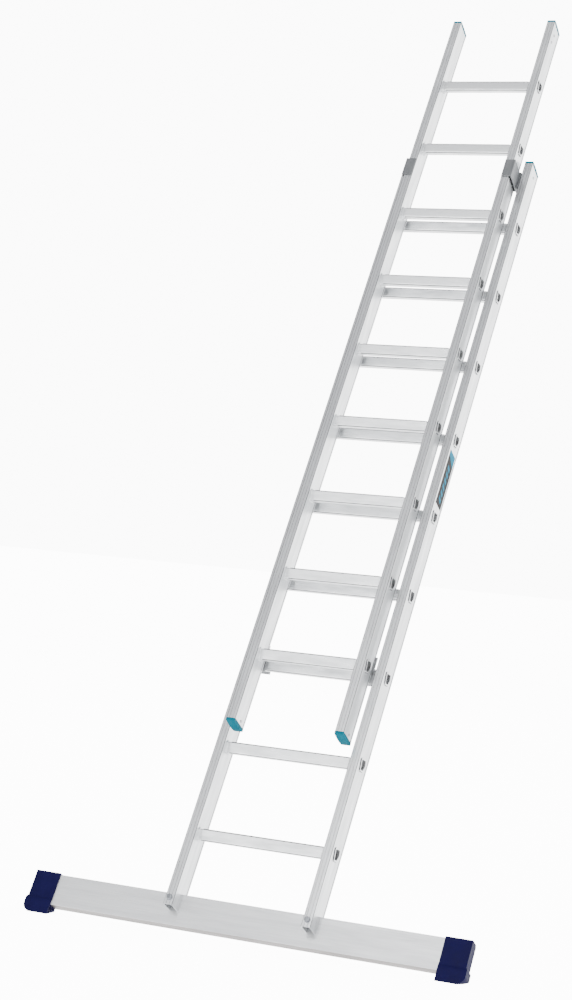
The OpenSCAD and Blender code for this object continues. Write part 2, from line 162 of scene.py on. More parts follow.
def makeFloor():
    bpy.ops.mesh.primitive_plane_add(size=studio["floorSize"])
    floor = bpy.context.object
    floor.name = "floor"
    paleFloor, floorTree, surface = startMaterial("paleFloorPaint")
    surface.inputs["Base Color"].default_value = linear(studio["floorColour"])
    surface.inputs["Roughness"].default_value = studio["floorRough"]
    surface.inputs["Specular IOR Level"].default_value = studio["floorShine"]
    surface.inputs["Emission Color"].default_value = linear("#FFFFFF")
    glow = addNode(floorTree, "MapRange", {}, {
        "Value": addNode(floorTree, "LightPath").outputs["Is Camera Ray"],
        "To Min": studio["floorGlow"], "To Max": studio["floorSeen"]})
    floorTree.links.new(glow.outputs["Result"], surface.inputs["Emission Strength"])
    floor.data.materials.append(paleFloor)


def startMaterial(name):
    material = bpy.data.materials.new(name)
    material.use_nodes = True
    return material, material.node_tree, material.node_tree.nodes["Principled BSDF"]


def noise(tree, sizes, detail, roughness):
    # a pattern in the leaning ladder's own directions, whose grain has these sizes
    spot = addNode(tree, "TexCoord").outputs["Object"]
    place = addNode(tree, "Mapping", {"vector_type": "TEXTURE"}, {
        "Vector": spot, "Rotation": (-lean, 0, 0), "Scale": [size * mm for size in sizes]})
    pattern = addNode(tree, "TexNoise", {}, {
        "Vector": place.outputs["Vector"], "Scale": 1.0, "Detail": detail, "Roughness": roughness})
    return pattern.outputs["Fac"]


def blend(tree, share, finish):
    tint = addNode(tree, "Mix", {"data_type": "RGBA"}, {"Factor": share})
    tint.inputs["A"].default_value = linear(finish["dark"])
    tint.inputs["B"].default_value = linear(finish["light"])
    return tint.outputs["Result"]


reliefDepth = 0.1 * mm
lineShare = 0.45       # how much the die lines count beside the clouds


def relief(tree, height, strength):
    bump = addNode(tree, "Bump", {}, {"Height": height, "Strength": strength, "Distance": reliefDepth})
    return bump.outputs["Normal"]


def makeMetal(name, finish):
    material, tree, surface = startMaterial(name)
    lines = noise(tree, finish["lineSize"], 3.0, 0.6)
    clouds = noise(tree, finish["cloudSize"], 4.0, 0.55)
    faintLines = addNode(tree, "Math", {"operation": "MULTIPLY"}, {0: lines, 1: lineShare}).outputs[0]
    wear = addNode(tree, "Math", {"operation": "ADD"}, {0: clouds, 1: faintLines}).outputs[0]
    share = addNode(tree, "MapRange", {}, {"Value": wear, "From Min": 0.5, "From Max": 1.0})
    rough = addNode(tree, "MapRange", {}, {
        "Value": wear, "From Min": 0.5, "From Max": 1.0,
        "To Min": finish["rough"][1], "To Max": finish["rough"][0]})
    surface.inputs["Metallic"].default_value = 1.0
    tree.links.new(blend(tree, share.outputs["Result"], finish), surface.inputs["Base Color"])
    tree.links.new(rough.outputs["Result"], surface.inputs["Roughness"])
    tree.links.new(relief(tree, lines, finish["bump"]), surface.inputs["Normal"])
    return material


def makePlastic(name, finish):
    material, tree, surface = startMaterial(name)
    grain = noise(tree, finish["grainSize"], 2.0, 0.5)
    clouds = noise(tree, finish["cloudSize"], 3.0, 0.5)
    rough = addNode(tree, "MapRange", {}, {
        "Value": clouds, "From Min": 0.3, "From Max": 0.7,
        "To Min": finish["rough"][0], "To Max": finish["rough"][1]})
    surface.inputs["IOR"].default_value = finish["ior"]
    surface.inputs["Specular IOR Level"].default_value = finish["shine"]
    tree.links.new(blend(tree, clouds, finish), surface.inputs["Base Color"])
    tree.links.new(rough.outputs["Result"], surface.inputs["Roughness"])
    tree.links.new(relief(tree, grain, finish["bump"]), surface.inputs["Normal"])
    return material


# Mill-finish extruded aluminium: soft reflections drawn out along the length by fine die lines
stileFinish = {"dark": "#C9CBCD", "light": "#E9EAEB", "rough": (0.26, 0.42), "bump": 0.25,
               "lineSize": (0.8, 0.8, 260), "cloudSize": (18, 18, 120)}
rungFinish = {"dark": "#C4C6C8", "light": "#EDEEEF", "rough": (0.25, 0.40), "bump": 0.25,
              "lineSize": (200, 0.8, 0.8), "cloudSize": (70, 14, 14)}
# Painted shade and reflection: rung flanges, stile corners and rounded front edges get a dark colour standing
# for the shadow in the swage grooves and the dark reflections on the roundings, and a duller roughness
edgeShadeFinish = {"dark": "#3E4042", "light": "#5C5E60", "rough": (0.45, 0.60), "bump": 0.3,
               "lineSize": (2, 2, 2), "cloudSize": (12, 12, 12)}
# The bar's extrusion is duller and darker, with broad streaks along it
barFinish = {"dark": "#C2C3C5", "light": "#DEDFE0", "rough": (0.40, 0.50), "bump": 0.2,
             "lineSize": (300, 1.2, 1.2), "cloudSize": (200, 30, 16)}
# Painted shade for the bar's underside: the bar's streaks in a darker warm grey
undersideShadeFinish = {"dark": "#7C7877", "light": "#969291", "rough": (0.40, 0.50), "bump": 0.2,
                   "lineSize": (300, 1.2, 1.2), "cloudSize": (200, 30, 16)}
# Guides and hooks are dull and grey
guideFinish = {"dark": "#6C6E70", "light": "#8B8D8F", "rough": (0.42, 0.58), "bump": 0.3,
               "lineSize": (0.8, 0.8, 120), "cloudSize": (20, 20, 60)}
hookFinish = {"dark": "#8C8E90", "light": "#B4B6B8", "rough": (0.40, 0.55), "bump": 0.3,
              "lineSize": (120, 0.8, 0.8), "cloudSize": (30, 20, 20)}
# Bright zinc plating: a faint blue-grey cast and small clouds
zincFinish = {"dark": "#7B7E83", "light": "#A6A9AE", "rough": (0.22, 0.38), "bump": 0.15,
              "lineSize": (1.5, 1.5, 1.5), "cloudSize": (6, 6, 6)}
rivetFinish = {"dark": "#8D8F92", "light": "#B9BBBD", "rough": (0.28, 0.42), "bump": 0.1,
               "lineSize": (1, 1, 1), "cloudSize": (4, 4, 4)}
# Polypropylene mouldings with a satin, finely grained skin
turquoiseFinish = {"dark": "#004C5A", "light": "#00596A", "rough": (0.50, 0.60), "bump": 0.2, "ior": 1.49,
                   "shine": 0.03, "grainSize": (0.6, 0.6, 0.6), "cloudSize": (25, 25, 25)}
navyFinish = {"dark": "#090725", "light": "#0D0A33", "rough": (0.40, 0.52), "bump": 0.25, "ior": 1.5,
              "shine": 0.04, "grainSize": (0.7, 0.7, 0.7), "cloudSize": (30, 30, 30)}
# Printed vinyl film, smooth and slightly glossy
filmFinish = {"dark": "#131314", "light": "#171718", "rough": (0.42, 0.48), "bump": 0.02, "ior": 1.46,
              "shine": 0.05, "grainSize": (0.5, 0.5, 0.5), "cloudSize": (30, 30, 30)}
filmBandFinish = {"dark": "#006078", "light": "#006884", "rough": (0.42, 0.48), "bump": 0.02, "ior": 1.46,
                  "shine": 0.03, "grainSize": (0.5, 0.5, 0.5), "cloudSize": (30, 30, 30)}


def makeMaterials():
    return {
        "stile": makeMetal("millAluminiumStile", stileFinish),
        "rung": makeMetal("millAluminiumRung", rungFinish),
        "swage": makeMetal("dullAluminiumSwage", edgeShadeFinish),
        "bar": makeMetal("dullAluminiumBar", barFinish),
        "underside": makeMetal("dullAluminiumUnderside", undersideShadeFinish),
        "guide": makeMetal("greyAluminiumGuide", guideFinish),
        "hook": makeMetal("greyAluminiumHook", hookFinish),
        "zinc": makeMetal("brightZincPlating", zincFinish),
        "rivet": makeMetal("aluminiumRivet", rivetFinish),
        "turquoise": makePlastic("turquoisePolypropylene", turquoiseFinish),
        "navy": makePlastic("navyPolypropylene", navyFinish),
        "film": makePlastic("greyVinylFilm", filmFinish),
        "filmBand": makePlastic("cyanVinylFilm", filmBandFinish),
    }


def clearSelection():
    bpy.ops.object.select_all(action="DESELECT")


def makeActive(piece):
    clearSelection()
    piece.select_set(True)
    bpy.context.view_layer.objects.active = piece


def openEdit(piece):
    makeActive(piece)
    bpy.ops.object.mode_set(mode="EDIT")


def closeEdit():
    bpy.ops.object.mode_set(mode="OBJECT")


def settle(piece):
    makeActive(piece)
    bpy.ops.object.transform_apply(location=True, rotation=True, scale=True)


def anywhere(spot, normal):
    return True


def pick(piece, mode, test):
    # selects what passes the test, which gets a place and a normal, or an edge's place, direction and fold
    bpy.ops.mesh.select_mode(type=mode)
    bpy.ops.mesh.select_all(action="DESELECT")
    net = bmesh.from_edit_mesh(piece.data)
    if mode == "FACE":
        found = [f for f in net.faces if test(f.calc_center_median(), f.normal)]
    elif mode == "EDGE":
        found = [e for e in net.edges if test(
            (e.verts[0].co + e.verts[1].co) / 2, (e.verts[1].co - e.verts[0].co).normalized(),
            e.calc_face_angle(0))]
    else:
        found = [v for v in net.verts if test(v.co, v.normal)]
    for item in found:
        item.select_set(True)
    net.select_flush_mode()
    bmesh.update_edit_mesh(piece.data)


def cut(piece, spot, normal, where=anywhere, drop=False):
    # a line of edges across the faces that where picks, or with drop all in front of the plane goes
    pick(piece, "FACE", where)
    bpy.ops.mesh.bisect(plane_co=spot, plane_no=normal, use_fill=drop, clear_outer=drop, threshold=tiny / 10)


def pull(step):
    bpy.ops.mesh.extrude_region_move(TRANSFORM_OT_translate={"value": step})


def swell(distance):
    bpy.ops.mesh.extrude_region_shrink_fatten(
        TRANSFORM_OT_shrink_fatten={"value": distance, "use_even_offset": True})


def roundOff(width, segments=3):
    bpy.ops.mesh.bevel(offset=width, segments=segments, affect="EDGES")


def addBox(name, low, high):
    # starts a piece as a block between two corners, and leaves it in edit mode
    clearSelection()
    low, high = Vector(low), Vector(high)
    bpy.ops.mesh.primitive_cube_add(size=1, location=(low + high) / 2)
    piece = bpy.context.object
    piece.name = name
    piece.scale = high - low
    settle(piece)
    openEdit(piece)
    return piece


def addRod(name, radius, length, sides, turn=(0, 0, 0)):
    # starts a piece as a rod along z from the origin up, turned, and leaves it in edit mode
    clearSelection()
    bpy.ops.mesh.primitive_cylinder_add(vertices=sides, radius=radius, depth=length)
    piece = bpy.context.object
    piece.name = name
    piece.location.z = length / 2
    settle(piece)
    piece.rotation_euler = turn
    settle(piece)
    openEdit(piece)
    return piece


def softenEdges(piece, width, segments=2, angle=35):
    makeActive(piece)
    bevel = piece.modifiers.new("soften", "BEVEL")
    bevel.width = width
    bevel.segments = segments
    bevel.limit_method = "ANGLE"
    bevel.angle_limit = math.radians(angle)
    bpy.ops.object.modifier_apply(modifier=bevel.name)


def carve(piece, cutters, operation="DIFFERENCE"):
    for cutter in cutters:
        makeActive(piece)
        tool = piece.modifiers.new("carve", "BOOLEAN")
        tool.operation = operation
        tool.solver = "EXACT"
        tool.object = cutter
        bpy.ops.object.modifier_apply(modifier=tool.name)
        bpy.data.objects.remove(cutter)


def copyOf(piece, name):
    makeActive(piece)
    bpy.ops.object.duplicate()
    twin = bpy.context.object
    twin.name = name
    return twin


def joinPieces(name, parts):
    clearSelection()
    for part in parts:
        part.select_set(True)
    bpy.context.view_layer.objects.active = parts[0]
    bpy.ops.object.join()
    parts[0].name = name
    return parts[0]


def paint(piece, main, second, test):
    # two finishes on one piece; the second goes on the faces that pass the test
    piece.data.materials.append(main)
    piece.data.materials.append(second)
    for face in piece.data.polygons:
        if test(face.center, face.normal):
            face.material_index = 1


def turnOutwards(piece):
    openEdit(piece)
    bpy.ops.mesh.select_all(action="SELECT")
    bpy.ops.mesh.normals_make_consistent(inside=False)
    closeEdit()


def leanBack(piece):
    piece.rotation_euler.x = -lean
    settle(piece)


def finishPiece(piece, body, surface, node):
    # smooth but for the sharp edges, with flat faces kept flat; a painted piece has its finishes already
    makeActive(piece)
    bpy.ops.object.shade_smooth_by_angle(angle=math.radians(smoothAngle))
    flat = piece.modifiers.new("flatFaces", "WEIGHTED_NORMAL")
    flat.keep_sharp = True
    bpy.ops.object.modifier_apply(modifier=flat.name)
    if surface:
        piece.data.materials.append(surface)
    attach(piece, body)
    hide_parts(node)


def boxAround(spots):
    # the lowest and the highest corner
    return (Vector([min(spot[i] for spot in spots) for i in range(3)]),
            Vector([max(spot[i] for spot in spots) for i in range(3)]))


def boxOf(node, turn):
    # the box of a CAD node in a frame turned about x
    spin = Matrix.Rotation(turn, 3, "X")
    return boxAround([spin @ vertex.co for vertex in frame["nodes"][node].data.vertices])


def pieceName(node):
    # base_cap_left becomes baseCapLeft
    words = node.split("_")
    return words[0] + "".join(word.title() for word in words[1:])


def solidsOf(node):
    # the points of each separate solid of a CAD node, in the ladder's own plane
    spin = Matrix.Rotation(lean, 3, "X")
    mesh = frame["nodes"][node].data
    keys = [tuple(vertex.co) for vertex in mesh.vertices]
    leader = {key: key for key in keys}

    def headOf(key):
        while leader[key] != key:
            key = leader[key]
        return key

    for face in mesh.polygons:
        first = headOf(keys[face.vertices[0]])
        for index in face.vertices[1:]:
            leader[headOf(keys[index])] = first
    solids = {}
    for key in keys:
        solids.setdefault(headOf(key), []).append(spin @ Vector(key))
    return sorted(solids.values(), key=lambda spots: (round(spots[0].x, 3), round(spots[0].z, 3)))


rung = {
    "tilt": 15,            # degrees between the tread and the ladder's plane
    "half": 15.5,          # half the tread's depth, and half the rung's height
    "wall": 2.0,
    "rear": (-1.5, 2.5),   # where the slope behind starts, and where it meets the underside
    "rearGrow": 0.4,       # how much of the growth goes into these two heights
    "nosing": 4.6,
    "lowerFront": 3.0,
    "rearEdge": 1.0,
    "ringGrow": 2.6,
    "ringHeight": 2.4,
    "collarHeight": 3.0,
    "neckLength": 10,
    "neckShrink": 0.9,
    "ribs": 5,
    "ribWidth": 2.6,
    "ribGap": 1.6,
    "ribDepth": 0.7,
    "linePlace": -11.0,
    "lineWidth": 1.0,
    "lineDepth": 0.5,
    "lip": 0.8,
    "lipFold": 0.6,        # folds sharper than this many radians are rolled
    "dullSlope": 0.8,      # flange faces that look less along the rung than this get painted shade and the duller finish
    "dullFrom": 0.45,      # and so are front edges that look up or down more than this
}
rungTurn = math.radians(rung["tilt"])


def rungBlank(name, lowX, highX, grow):
    # a rung's section drawn out between two places and grown by some millimetres
    half = (rung["half"] + grow) * mm
    piece = addBox(name, (lowX, -half, -half), (highX, half, half))
    top, bottom = [(z + sign * rung["rearGrow"] * grow) * mm for z, sign in zip(rung["rear"], (-1, 1))]
    slope = Vector((0, half - bottom, top + half))
    cut(piece, (0, half, top), (0, slope.z, -slope.y), drop=True)

    def along(y, z):
        # the long edges on the front or rear side (y) and the upper or lower one (z)
        return lambda spot, way, fold: (abs(way.x) > 0.9 and y * spot.y > half - tiny
                                        and z * spot.z > half - tiny)

    pick(piece, "EDGE", along(-1, 1))
    roundOff(rung["nosing"] * mm, 4)
    pick(piece, "EDGE", along(-1, -1))
    roundOff(rung["lowerFront"] * mm, 3)
    pick(piece, "EDGE", along(1, 1))
    roundOff(rung["rearEdge"] * mm, 2)
    return piece


def makeRung(name, innerX, outerX, surfaces):
    # a rung on the origin, with its tread level; innerX and outerX are the stile's side faces
    recess = stile["recess"] * mm
    ringFoot = outerX - recess
    ringTop = ringFoot + rung["ringHeight"] * mm
    collarFoot = innerX + recess
    collarTop = collarFoot - rung["collarHeight"] * mm
    bodyEnd = innerX - rung["neckLength"] * mm
    half = rung["half"] * mm
    piece = rungBlank(name, -ringTop, ringTop, 0)
    for x in (bodyEnd, collarTop, collarFoot, ringFoot):
        for side in (-1, 1):
            cut(piece, (side * x, 0, 0), (1, 0, 0))

    def band(x0, x1):
        return lambda spot, normal: x0 < abs(spot.x) < x1 and abs(normal.x) < 0.5

    # swaged necks, thinner than the body, and the flanges that grip the stile's walls
    for x0, x1, grow in ((bodyEnd, collarTop, -rung["neckShrink"]), (collarTop, collarFoot, rung["ringGrow"]),
                         (collarFoot, ringFoot, -rung["neckShrink"]), (ringFoot, ringTop, rung["ringGrow"])):
        pick(piece, "FACE", band(x0, x1))
        swell(grow * mm)
    # ribs on the tread
    ribs, width, gap = rung["ribs"], rung["ribWidth"] * mm, rung["ribGap"] * mm
    first = -(ribs * width + (ribs - 1) * gap) / 2
    gaps = [first + width + i * (width + gap) for i in range(ribs - 1)]

    def treadBody(spot, normal):
        return normal.z > 0.99 and spot.z > half - tiny and abs(spot.x) < bodyEnd

    for y in gaps:
        cut(piece, (0, y, 0), (0, 1, 0), treadBody)
        cut(piece, (0, y + gap, 0), (0, 1, 0), treadBody)
    pick(piece, "FACE", lambda spot, normal: treadBody(spot, normal) and any(
        y < spot.y < y + gap for y in gaps))
    pull((0, 0, -rung["ribDepth"] * mm))
    # one line along the lower front
    low = rung["linePlace"] * mm
    high = low + rung["lineWidth"] * mm

    def frontBody(spot, normal):
        return normal.y < -0.99 and spot.y < -half + tiny and abs(spot.x) < bodyEnd

    cut(piece, (0, 0, low), (0, 0, 1), frontBody)
    cut(piece, (0, 0, high), (0, 0, 1), frontBody)
    pick(piece, "FACE", lambda spot, normal: frontBody(spot, normal) and low < spot.z < high)
    pull((0, rung["lineDepth"] * mm, 0))
    closeEdit()
    turnOutwards(piece)
    bore = rungBlank("bore", -outerX - rung["collarHeight"] * mm, outerX + rung["collarHeight"] * mm,
                     -rung["wall"])
    closeEdit()
    carve(piece, [bore])
    # rolled lips on the flanges' rims and the open ends
    openEdit(piece)
    rims = (ringTop, collarTop)
    pick(piece, "EDGE", lambda spot, way, fold: fold > rung["lipFold"] and abs(way.x) < 0.1 and any(
        abs(abs(spot.x) - x) < tiny for x in rims) and nearRim(spot))
    roundOff(rung["lip"] * mm, 3)
    closeEdit()
    # the pressed sides of the outer flanges and the rounded front edges get painted shade: darker and duller
    # than the rest, standing for the shadow in the swage groove and the dark reflection on the roundings
    def paintedShade(spot, normal):
        onRing = abs(spot.x) > ringFoot and onFlange(spot) and abs(normal.x) < rung["dullSlope"]
        atFront = spot.y < -half + rung["nosing"] * mm and abs(spot.x) < bodyEnd
        return onRing or atFront and rung["dullFrom"] < abs(normal.z) < 0.99

    paint(piece, surfaces["rung"], surfaces["swage"], paintedShade)
    return piece


def slopeOut(spot):
    # how far a place is behind the rung's sloping rear, and how far the rear itself is
    slope = Vector((0, rung["rear"][1] - rung["half"], rung["half"] + rung["rear"][0]))
    out = Vector((0, slope.z, -slope.y)).normalized()
    behind = out.y * spot.y - abs(out.z) * spot.z
    return behind, (out.y * rung["half"] - abs(out.z) * rung["rear"][0]) * mm


def onFlange(spot):
    half = (rung["half"] + rung["ringGrow"] / 2) * mm
    behind, edge = slopeOut(spot)
    return abs(spot.y) > half or abs(spot.z) > half or behind > edge + mm


def nearRim(spot):
    # on a flange, or on the edge of the bore
    bored = (rung["half"] - rung["wall"]) * mm
    behind, edge = slopeOut(spot)
    return onFlange(spot) or abs(spot.y) < bored + tiny and abs(spot.z) < bored + tiny and behind < edge - mm


def rungNodesOf(prefix):
    return sorted(node for node in frame["nodes"] if node.startswith(prefix + "_rung_"))


def rungCentre(node):
    low, high = boxOf(node, lean - rungTurn)
    return Matrix.Rotation(rungTurn - lean, 3, "X") @ ((low + high) / 2)


def makeRungs(surfaces):
    for body, prefix in (("base_section", "base"), ("fly_section", "fly")):
        low, high = boxOf(prefix + "_stile_right", lean)
        master = makeRung("rungMaster", low.x, high.x, surfaces)
        for node in rungNodesOf(prefix):
            piece = copyOf(master, pieceName(node))
            piece.location = rungCentre(node)
            piece.rotation_euler.x = rungTurn - lean
            settle(piece)
            finishPiece(piece, body, None, node)
        bpy.data.objects.remove(master)


stile = {
    "wall": 1.6,
    "recess": 0.8,        # the side walls lie this far inside the corner beads
    "bead": 5.0,
    "grooves": (0.32, 0.68),
    "grooveWidth": 1.6,
    "grooveDepth": 0.5,
    "grooveSlope": 0.35,
    "corner": 1.2,
    "rungPlay": 0.1,
    "dullFrom": 0.2,      # how far a corner face is turned from the flat ones, 0 to 1, for it to get painted shade
}


def makeStile(node, rungNodes, surfaces, notch):
    low, high = boxOf(node, lean)
    size = high - low
    middle = (low + high) / 2
    recess, bead, wall = stile["recess"] * mm, stile["bead"] * mm, stile["wall"] * mm
    clearSelection()
    bpy.ops.mesh.primitive_plane_add(size=1, location=(middle.x, middle.y, low.z))
    piece = bpy.context.object
    piece.name = pieceName(node)
    piece.scale = (size.x, size.y, 1)
    settle(piece)
    # the section is drawn flat, and then pulled up to the stile's length
    openEdit(piece)
    bpy.ops.mesh.select_all(action="SELECT")
    bpy.ops.mesh.inset(thickness=wall, use_even_offset=True)
    bpy.ops.mesh.delete(type="ONLY_FACE")
    for y in (low.y + bead, low.y + bead + recess, high.y - bead - recess, high.y - bead):
        cut(piece, (0, y, 0), (0, 1, 0))
    halfX = size.x / 2
    for side in (-1, 1):
        outer = middle.x + side * halfX
        pick(piece, "VERT", lambda spot, normal: abs(spot.x - outer) < tiny
             and low.y + bead + tiny < spot.y < high.y - bead - tiny)
        bpy.ops.transform.translate(value=(-side * recess, 0, 0))
        inner = outer - side * wall
        pick(piece, "VERT", lambda spot, normal: abs(spot.x - inner) < tiny)
        bpy.ops.transform.translate(value=(-side * recess, 0, 0))
    for share in stile["grooves"]:
        centre = low.x + share * size.x
        edge = stile["grooveWidth"] / 2 * mm
        floor = edge - stile["grooveSlope"] * mm
        for x in (centre - edge, centre - floor, centre + floor, centre + edge):
            cut(piece, (x, 0, 0), (1, 0, 0))
        for y, step in ((low.y, stile["grooveDepth"] * mm), (high.y, -stile["grooveDepth"] * mm)):
            pick(piece, "VERT", lambda spot, normal: abs(spot.x - centre) < floor + tiny
                 and abs(spot.y - y) < tiny)
            bpy.ops.transform.translate(value=(0, step, 0))
    bpy.ops.mesh.select_all(action="SELECT")
    pull((0, 0, size.z))
    pick(piece, "EDGE", lambda spot, way, fold: abs(way.z) > 0.9
         and abs(abs(spot.x - middle.x) - halfX) < tiny and abs(abs(spot.y - middle.y) - size.y / 2) < tiny)
    roundOff(stile["corner"] * mm, 3)
    closeEdit()
    turnOutwards(piece)
    # openings for the rungs' swaged necks, and the notch over the bar
    cutters = []
    for rungNode in rungNodes:
        opening = rungBlank("opening", low.x - bead, high.x + bead, stile["rungPlay"] - rung["neckShrink"])
        closeEdit()
        boxLow, boxHigh = boxOf(rungNode, lean - rungTurn)
        opening.location = Matrix.Rotation(rungTurn, 3, "X") @ Vector(
            (0, (boxLow.y + boxHigh.y) / 2, (boxLow.z + boxHigh.z) / 2))
        opening.rotation_euler.x = rungTurn
        settle(opening)
        cutters.append(opening)
    cutter = joinPieces("openings", cutters)
    carve(piece, [cutter])
    if notch:
        block = addBox("notch", (low.x - bead, notch[0], low.z - bead),
                       (high.x + bead, high.y + bead, notch[1]))
        closeEdit()
        carve(piece, [block])
    # the rounded corners and all slopes get painted shade: darker and duller than the faces, standing for the
    # dark reflections along the edges
    paint(piece, surfaces["stile"], surfaces["swage"], lambda spot, normal:
          min(abs(normal.x), abs(normal.y)) > stile["dullFrom"])
    leanBack(piece)
    return piece


def makeStiles(surfaces):
    barLow, barHigh = boxOf("stabiliser_bar", lean)
    for body, prefix, notch in (("base_section", "base", (-barHigh.y, barHigh.z)),
                                ("fly_section", "fly", None)):
        rungNodes = rungNodesOf(prefix)
        for side in ("left", "right"):
            node = f"{prefix}_stile_{side}"
            piece = makeStile(node, rungNodes, surfaces, notch)
            finishPiece(piece, body, None, node)


endPlug = {
    "rows": 12,
    "capCrown": 260,
    "footCrown": 200,
    "edge": 0.4,
    "plugGap": 2.7,
    "plugShell": 2.0,
    "bridge": 14,
}


def makeEndPlug(node, stileEnd, way, crown):
    # way is 1 for a cap, on the stile's top, and -1 for a foot
    low, high = boxOf(node, lean)
    outer, plugEnd = (high.z, low.z) if way > 0 else (low.z, high.z)
    middle = (low.y + high.y) / 2
    bottom, top = sorted((stileEnd, outer))
    piece = addBox(pieceName(node), (low.x, low.y, bottom), (high.x, high.y, top))
    rows = [low.y + (high.y - low.y) * i / endPlug["rows"] for i in range(endPlug["rows"] + 1)]
    for y in rows[1:-1]:
        cut(piece, (0, y, 0), (0, 1, 0), lambda spot, normal: normal.z * way > 0.9)
    for y in rows:
        drop = crown - math.sqrt(crown ** 2 - (y - middle) ** 2)
        pick(piece, "VERT", lambda spot, normal: abs(spot.z - outer) < tiny and abs(spot.y - y) < tiny)
        bpy.ops.transform.translate(value=(0, 0, -way * drop))
    closeEdit()
    softenEdges(piece, endPlug["edge"] * mm, 3, 40)
    openEdit(piece)
    pick(piece, "FACE", lambda spot, normal: normal.z * way < -0.99 and abs(spot.z - stileEnd) < tiny)
    bpy.ops.mesh.inset(thickness=(endPlug["plugGap"] - endPlug["edge"]) * mm, use_even_offset=True)
    pull((0, 0, plugEnd - stileEnd))
    bpy.ops.mesh.inset(thickness=endPlug["plugShell"] * mm, use_even_offset=True)
    depth = max(abs(plugEnd - stileEnd) - endPlug["bridge"] * mm, 2 * mm)
    pull((0, 0, way * depth))
    closeEdit()
    turnOutwards(piece)
    leanBack(piece)
    return piece


def makeEndPlugs(surfaces):
    for body, kind, stileKind, way in (("base_section", "base_cap", "base_stile", 1),
                                       ("fly_section", "fly_cap", "fly_stile", 1),
                                       ("fly_section", "fly_foot", "fly_stile", -1)):
        crown = endPlug["capCrown" if way > 0 else "footCrown"] * mm
        for side in ("left", "right"):
            stileLow, stileHigh = boxOf(f"{stileKind}_{side}", lean)
            node = f"{kind}_{side}"
            stileEnd = stileHigh.z if way > 0 else stileLow.z
            piece = makeEndPlug(node, stileEnd, way, crown)
            finishPiece(piece, body, surfaces["turquoise"], node)


rivet = {
    "radius": 4.0,
    "height": 1.4,
    "shank": 2.0,
    "shankLength": 6.0,
    "dome": 0.9,
    "pit": 1.4,
    "pitDepth": 0.7,
    "mandrel": 1.1,
    "mandrelRise": 0.6,    # a share of the pit's depth
}


def makeRivet():
    # a blind rivet on the plane z = 0 with its dome up, the broken mandrel down its middle
    piece = addRod("rivetMaster", rivet["radius"] * mm, rivet["height"] * mm, 24)
    pick(piece, "EDGE", lambda spot, way, fold: spot.z > rivet["height"] * mm - tiny)
    roundOff(rivet["dome"] * mm, 3)
    pick(piece, "FACE", lambda spot, normal: normal.z > 0.99)
    bpy.ops.mesh.inset(thickness=(rivet["radius"] - rivet["dome"] - rivet["pit"]) * mm)
    pull((0, 0, -rivet["pitDepth"] * mm))
    bpy.ops.mesh.inset(thickness=(rivet["pit"] - rivet["mandrel"]) * mm)
    pull((0, 0, rivet["pitDepth"] * rivet["mandrelRise"] * mm))
    pick(piece, "FACE", lambda spot, normal: normal.z < -0.99)
    bpy.ops.mesh.inset(thickness=(rivet["radius"] - rivet["shank"]) * mm)
    pull((0, 0, -rivet["shankLength"] * mm))
    closeEdit()
    return piece


def makeRivets(surfaces):
    master = makeRivet()
    for node, body, axis in (("base_cap_rivets", "base_section", 0), ("guide_rivets", "base_section", 0),
                             ("fly_cap_rivets", "fly_section", 0), ("fly_foot_rivets", "fly_section", 0),
                             ("hook_rivets", "fly_section", 1)):
        parts = []
        for spots in solidsOf(node):
            low, high = boxAround(spots)
            middle = (low + high) / 2
            across = 1 - axis
            rim = [s[axis] for s in spots if abs(s[across] - middle[across]) > (rivet["shank"] + 1) * mm]
            way = 1 if sum(rim) / len(rim) > middle[axis] else -1
            part = copyOf(master, "rivet")
            part.location = middle
            part.location[axis] = (high if way > 0 else low)[axis] - way * rivet["height"] * mm
            part.rotation_euler = (0, way * math.pi / 2, 0) if axis == 0 else (-way * math.pi / 2, 0, 0)
            settle(part)
            parts.append(part)
        piece = joinPieces(pieceName(node), parts)
        leanBack(piece)
        finishPiece(piece, body, surfaces["rivet"], node)
    bpy.data.objects.remove(master)


bar = {
    "wall": 2.0,
    "lipHeight": 12,
    "grooves": (24, 42, 60),
    "grooveWidth": 1.6,
    "grooveDepth": 0.5,
    "ribHeight": 36,
    "edge": 0.5,
}


